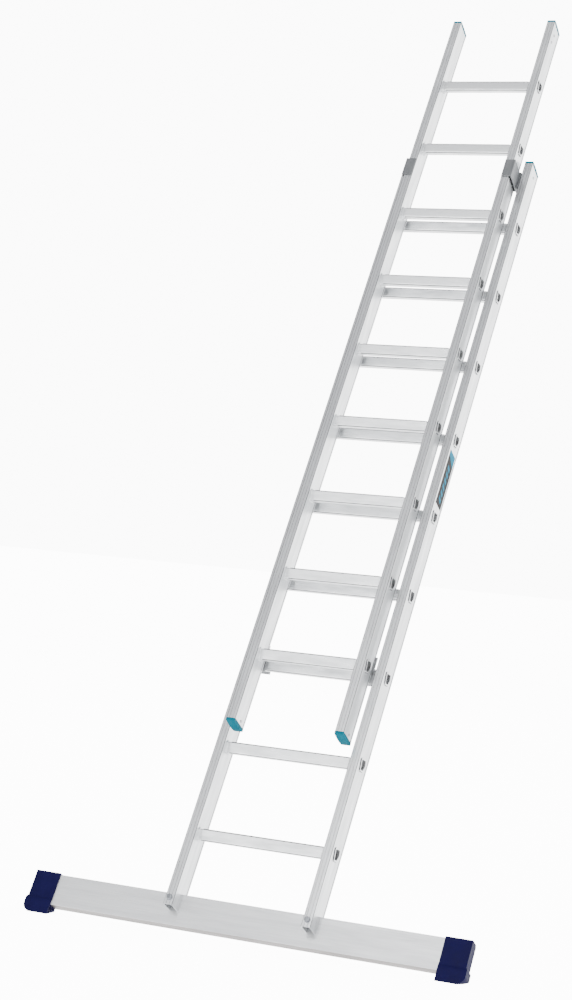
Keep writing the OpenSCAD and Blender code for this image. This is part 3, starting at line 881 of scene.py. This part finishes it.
def makeBar(surfaces):
    low, high = boxOf("stabiliser_bar", lean)
    front = -high.y
    piece = addBox("stabiliserBar", (low.x, front, low.z), high)

    def ends(spot, normal):
        return abs(normal.x) > 0.9

    ribZ = low.z + bar["ribHeight"] * mm
    cut(piece, (0, 0, ribZ), (0, 0, 1), ends)
    pick(piece, "FACE", ends)
    bpy.ops.mesh.inset(thickness=bar["wall"] * mm, use_even_offset=True, use_individual=True)
    for way in (-1, 1):
        pick(piece, "FACE", lambda spot, normal: ends(spot, normal) and (spot.z - ribZ) * way > 0
             and abs(spot.y) < mm and abs(spot.z - ribZ) > bar["wall"] * 2 * mm
             and low.z + bar["wall"] * 2 * mm < spot.z < high.z - bar["wall"] * 2 * mm)
        bpy.ops.mesh.bridge_edge_loops()

    def frontFaces(spot, normal):
        return normal.y < -0.99 and spot.y < front + tiny

    lipTop = low.z + bar["lipHeight"] * mm
    cut(piece, (0, 0, lipTop), (0, 0, 1), frontFaces)
    for height in bar["grooves"]:
        for z in (height, height + bar["grooveWidth"]):
            cut(piece, (0, 0, low.z + z * mm), (0, 0, 1), frontFaces)
    pick(piece, "FACE", lambda spot, normal: frontFaces(spot, normal) and any(
        height * mm < spot.z - low.z < (height + bar["grooveWidth"]) * mm for height in bar["grooves"]))
    pull((0, bar["grooveDepth"] * mm, 0))
    pick(piece, "FACE", lambda spot, normal: frontFaces(spot, normal) and spot.z < lipTop)
    pull((0, low.y - front, 0))
    pick(piece, "EDGE", lambda spot, way, fold: abs(way.x) > 0.9 and abs(spot.z - high.z) < tiny)
    roundOff(bar["edge"] * mm, 2)
    pick(piece, "EDGE", lambda spot, way, fold: abs(way.x) > 0.9 and abs(spot.y - low.y) < tiny)
    roundOff(bar["edge"] * mm, 2)
    closeEdit()
    turnOutwards(piece)
    # the underside gets painted shade, a darker colour standing for the shade under the bar
    paint(piece, surfaces["bar"], surfaces["underside"], lambda spot, normal:
          normal.z < -0.9 and spot.z < low.z + tiny)
    leanBack(piece)
    finishPiece(piece, "base_section", None, "stabiliser_bar")


bolt = {
    "flats": 13,
    "headHeight": 5.3,
    "chamfer": 0.7,
    "dish": 0.25,
    "shank": 4.0,
    "threadPitch": 1.25,
    "threadLength": 18,
    "threadRoot": 0.86,
    "nutHeight": 6.5,
    "washer": 8.0,
    "washerHole": 4.5,
    "washerHeight": 1.6,
    "washerEdge": 0.3,
}


def hexRadius():
    return bolt["flats"] / 2 / math.cos(math.radians(30)) * mm


def makeBolt(length):
    # the head stands on z = 0 and the shank goes down from it
    head = addRod("boltHead", hexRadius(), bolt["headHeight"] * mm, 6)
    top = bolt["headHeight"] * mm
    pick(head, "EDGE", lambda spot, way, fold: spot.z > top - tiny)
    roundOff(bolt["chamfer"] * mm, 2)
    pick(head, "FACE", lambda spot, normal: normal.z > 0.99)
    bpy.ops.mesh.inset(thickness=bolt["chamfer"] * mm)
    pull((0, 0, -bolt["dish"] * mm))
    closeEdit()
    # the shank goes 1 mm into the head, and its thread is a row of crests and roots
    shank = addRod("boltShank", bolt["shank"] * mm, length + 1 * mm, 32)
    halfPitch = bolt["threadPitch"] / 2 * mm
    steps = int(bolt["threadLength"] / bolt["threadPitch"] * 2)
    for i in range(1, steps):
        cut(shank, (0, 0, i * halfPitch), (0, 0, 1))
    for i in range(0, steps, 2):
        pick(shank, "VERT", lambda spot, normal: abs(spot.z - i * halfPitch) < tiny)
        root = bolt["threadRoot"]
        bpy.ops.transform.resize(value=(root, root, 1), center_override=(0, 0, i * halfPitch))
    closeEdit()
    shank.location.z = -length
    settle(shank)
    carve(head, [shank], "UNION")
    return head


def makeNut():
    piece = addRod("nutMaster", hexRadius(), bolt["nutHeight"] * mm, 6)
    pick(piece, "EDGE", lambda spot, way, fold: abs(way.z) < 0.5)
    roundOff(bolt["chamfer"] * mm, 2)
    closeEdit()
    hole = addRod("nutHole", bolt["shank"] * mm, 3 * bolt["nutHeight"] * mm, 32)
    closeEdit()
    hole.location.z = -bolt["nutHeight"] * mm
    settle(hole)
    carve(piece, [hole])
    return piece


def makeWasher():
    piece = addRod("washerMaster", bolt["washer"] * mm, bolt["washerHeight"] * mm, 40)
    pick(piece, "FACE", lambda spot, normal: abs(normal.z) > 0.9)
    bpy.ops.mesh.inset(thickness=(bolt["washer"] - bolt["washerHole"]) * mm, use_individual=True)
    bpy.ops.mesh.bridge_edge_loops()
    pick(piece, "EDGE", lambda spot, way, fold: abs(way.z) < 0.5 and math.hypot(spot.x, spot.y)
         > (bolt["washer"] - 1) * mm)
    roundOff(bolt["washerEdge"] * mm, 2)
    closeEdit()
    turnOutwards(piece)
    return piece


def placeGroup(node, master, surfaces, seatOf):
    # a copy of one fastener on each solid of a node, its top towards the ladder's front
    parts = []
    name = pieceName(node)
    for low, high in map(boxAround, solidsOf(node)):
        part = copyOf(master, name)
        middle = (low + high) / 2
        part.location = (middle.x, seatOf(low, high), middle.z)
        part.rotation_euler = (math.pi / 2, 0, 0)
        settle(part)
        parts.append(part)
    bpy.data.objects.remove(master)
    piece = joinPieces(name, parts)
    leanBack(piece)
    finishPiece(piece, "base_section", surfaces["zinc"], node)


def makeFasteners(surfaces):
    low, high = boxAround(solidsOf("bar_bolts")[0])
    head = bolt["headHeight"] * mm
    placeGroup("bar_bolts", makeBolt(high.y - low.y - head), surfaces, lambda low, high: low.y + head)
    placeGroup("bar_nuts", makeNut(), surfaces, lambda low, high: high.y)
    placeGroup("bar_washers", makeWasher(), surfaces, lambda low, high: high.y)
    for holder in frame["nodes"]["bar_sleeves"].material_slots:
        holder.material = surfaces["zinc"]  # the sleeves keep their CAD shape


barFoot = {
    "cover": 70,
    "bulge": 4.0,
    "rough": 30,            # how far down the block starts before the sole is cut
    "ridge": 27,
    "ridgeRows": (7, 2, -8),    # rows of points around the ridge, up from it
    "ridgeTop": 3,
    "ridgeDepth": 2.2,
    "ridgeRadius": 2.5,
    "bellyTop": -7,
    "bellyBottom": -20,
    "bellyDepth": 1.0,
    "cornerRadius": 22,
    "cornerCuts": (12, 24, 36, 48, 60),
    "cornerDrop": 0.55,
    "chamfer": 6,
    "edge": 1.2,
    "play": 0.2,
    "overlap": 5,           # how far the cutters reach past what they cut
    "pocketEnd": 52,
    "pocketRoof": 4,
    # the pockets under the bar, each from and to this far back from the bar's middle, and its lowest height
    "pockets": ((-14, -9.25, 3.5), (-14, -9.25, -3), (-6.75, -1.25, 4.5), (1.25, 9, 10)),
}


def makeBarFoot(name):
    low, high = boxOf("bar_foot_right", lean)
    barLow, barHigh = boxOf("stabiliser_bar", lean)
    inner = high.x - (barFoot["bulge"] + barFoot["cover"]) * mm
    front = -high.y
    ridge = barFoot["ridge"] * mm
    bulge = barFoot["bulge"] * mm
    piece = addBox(name, (inner, front, -barFoot["rough"] * mm), high)
    for row in barFoot["ridgeRows"]:
        cut(piece, (0, 0, ridge + row * mm), (0, 0, 1))

    def atFront(lowest, highest):
        return lambda spot, normal: lowest < spot.z < highest and spot.y < front / 2

    # fuller lower part, with a soft ridge across the front
    underAll = -2 * barFoot["rough"] * mm
    belly = barFoot["bellyDepth"]
    for top, step in ((ridge + barFoot["ridgeTop"] * mm, barFoot["ridgeDepth"]),
                      (ridge + barFoot["bellyTop"] * mm, belly), (barFoot["bellyBottom"] * mm, -belly)):
        pick(piece, "VERT", atFront(underAll, top))
        bpy.ops.transform.translate(value=(0, -step * mm, 0))
    aboveRidge = ridge + (barFoot["ridgeTop"] + 1) * mm
    pick(piece, "VERT", lambda spot, normal: spot.z > aboveRidge and spot.x > high.x - tiny)
    bpy.ops.transform.translate(value=(-bulge, 0, 0))
    pick(piece, "EDGE", lambda spot, way, fold: abs(way.x) > 0.9 and atFront(ridge, aboveRidge)(spot, way))
    roundOff(barFoot["ridgeRadius"] * mm, 4)
    # rounded outer lower corner
    radius = barFoot["cornerRadius"] * mm
    for degrees in barFoot["cornerCuts"]:
        angle = math.radians(degrees)
        spot = (high.x - radius * (1 - math.cos(angle)), 0,
                radius * (barFoot["cornerDrop"] - math.sin(angle)))
        cut(piece, spot, (math.cos(angle), 0, -math.sin(angle)), drop=True)
    # the sole lies flat on the floor
    cut(piece, (0, 0, 0), (0, math.sin(lean), -math.cos(lean)), drop=True)
    pick(piece, "EDGE", lambda spot, way, fold: abs(way.x) > 0.9 and spot.y > high.y - tiny
         and spot.z > high.z - tiny)
    roundOff(barFoot["chamfer"] * mm, 1)
    closeEdit()
    softenEdges(piece, barFoot["edge"] * mm, 3, 30)
    # the sleeve that takes the bar's end, and pockets between ribs below it
    play = barFoot["play"] * mm
    start = inner - barFoot["overlap"] * mm
    lipRear = barFoot["overlap"] * mm - barHigh.y
    lipRoom = addBox("lipRoom", (start, barLow.y - play, barLow.z - play),
                     (barHigh.x + play, lipRear, barLow.z + bar["lipHeight"] * mm + play))
    closeEdit()
    barRoom = addBox("barRoom", (start, -barHigh.y - play, barLow.z - play),
                     (barHigh.x + play, barHigh.y + play, barHigh.z + play))
    closeEdit()
    carve(piece, [barRoom, lipRoom])
    for y0, y1, floor in barFoot["pockets"]:
        top = 1.0 if floor < 0 else barLow.z / mm - barFoot["pocketRoof"]
        pocket = addBox("pocket", (start, y0 * mm, floor * mm),
                        (inner + barFoot["pocketEnd"] * mm, y1 * mm, top * mm))
        closeEdit()
        carve(piece, [pocket])
    return piece


def makeBarFeet(surfaces):
    right = makeBarFoot("barFootRight")
    left = copyOf(right, "barFootLeft")
    left.scale.x = -1
    settle(left)
    turnOutwards(left)
    for piece, node in ((right, "bar_foot_right"), (left, "bar_foot_left")):
        leanBack(piece)
        finishPiece(piece, "base_section", surfaces["navy"], node)


bracket = {"guideEdge": 0.6, "hookEdge": 0.5}


def refined(node, edge):
    # a bracket's CAD shape, with its saw-cut and formed edges broken
    makeActive(frame["nodes"][node])
    bpy.ops.object.duplicate()
    piece = bpy.context.object
    piece.name = pieceName(node)
    piece.parent = None
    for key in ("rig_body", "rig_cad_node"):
        if key in piece:
            del piece[key]
    piece.data.materials.clear()
    openEdit(piece)
    bpy.ops.mesh.select_all(action="SELECT")
    bpy.ops.mesh.remove_doubles(threshold=tiny)
    bpy.ops.mesh.dissolve_limited(angle_limit=math.radians(1))
    closeEdit()
    softenEdges(piece, edge, 2, 40)
    return piece


def makeBrackets(surfaces):
    for side in ("left", "right"):
        node = "guide_bracket_" + side
        piece = refined(node, bracket["guideEdge"] * mm)
        finishPiece(piece, "base_section", surfaces["guide"], node)
        node = "rung_hook_" + side
        piece = refined(node, bracket["hookEdge"] * mm)
        finishPiece(piece, "fly_section", surfaces["hook"], node)


label = {
    "bandStart": 15,     # from the top end down to the band's lower edge, at the front
    "slant": 0.45,
    "dashes": 6,
    "dashTop": 34,
    "dashBottom": 18,
    "dashWidth": 0.38,
    "dashFill": 0.6,
}


def makeLabel(surfaces):
    low, high = boxOf("label_plate", lean)
    size = high - low
    piece = addBox("labelPlate", low, high)

    def outerFace(spot, normal):
        return normal.x > 0.99

    def downTo(spot):
        # how far a place is below the label's top, along the slant of the print
        return high.z - spot.z - label["slant"] * (spot.y - low.y)

    slantNormal = (0, label["slant"], 1)
    cut(piece, (0, low.y, high.z - label["bandStart"] * mm), slantNormal, outerFace)
    edges = [low.y + size.y * (0.5 + s * label["dashWidth"] / 2) for s in (-1, 1)]

    def belowBand(spot, normal):
        return outerFace(spot, normal) and downTo(spot) > label["bandStart"] * mm

    for y in edges:
        cut(piece, (0, y, 0), (0, 1, 0), belowBand)

    def strip(spot, normal):
        return belowBand(spot, normal) and edges[0] < spot.y < edges[1]

    first = label["dashTop"] * mm
    step = (size.z - first - label["dashBottom"] * mm) / label["dashes"]
    for i in range(label["dashes"]):
        for share in (0, label["dashFill"]):
            cut(piece, (0, low.y, high.z - first - (i + share) * step), slantNormal, strip)

    def printed(spot, normal):
        place = (downTo(spot) - first) / step
        onBand = downTo(spot) < label["bandStart"] * mm
        inStrip = edges[0] < spot.y < edges[1] and 0 < place < label["dashes"]
        onDash = inStrip and place % 1 < label["dashFill"]
        return outerFace(spot, normal) and (onBand or onDash)

    closeEdit()
    paint(piece, surfaces["film"], surfaces["filmBand"], printed)
    leanBack(piece)
    finishPiece(piece, "base_section", None, "label_plate")


makeCamera()
makeStudio()
makeFloor()
print("camera, floor and light are in place")
surfaces = makeMaterials()
makeStiles(surfaces)
print("stiles made")
makeRungs(surfaces)
print("rungs made")
makeEndPlugs(surfaces)
makeRivets(surfaces)
print("caps, feet and rivets made")
makeBar(surfaces)
makeFasteners(surfaces)
makeBarFeet(surfaces)
print("bar, fasteners and bar feet made")
makeBrackets(surfaces)
makeLabel(surfaces)
print("brackets and label made")
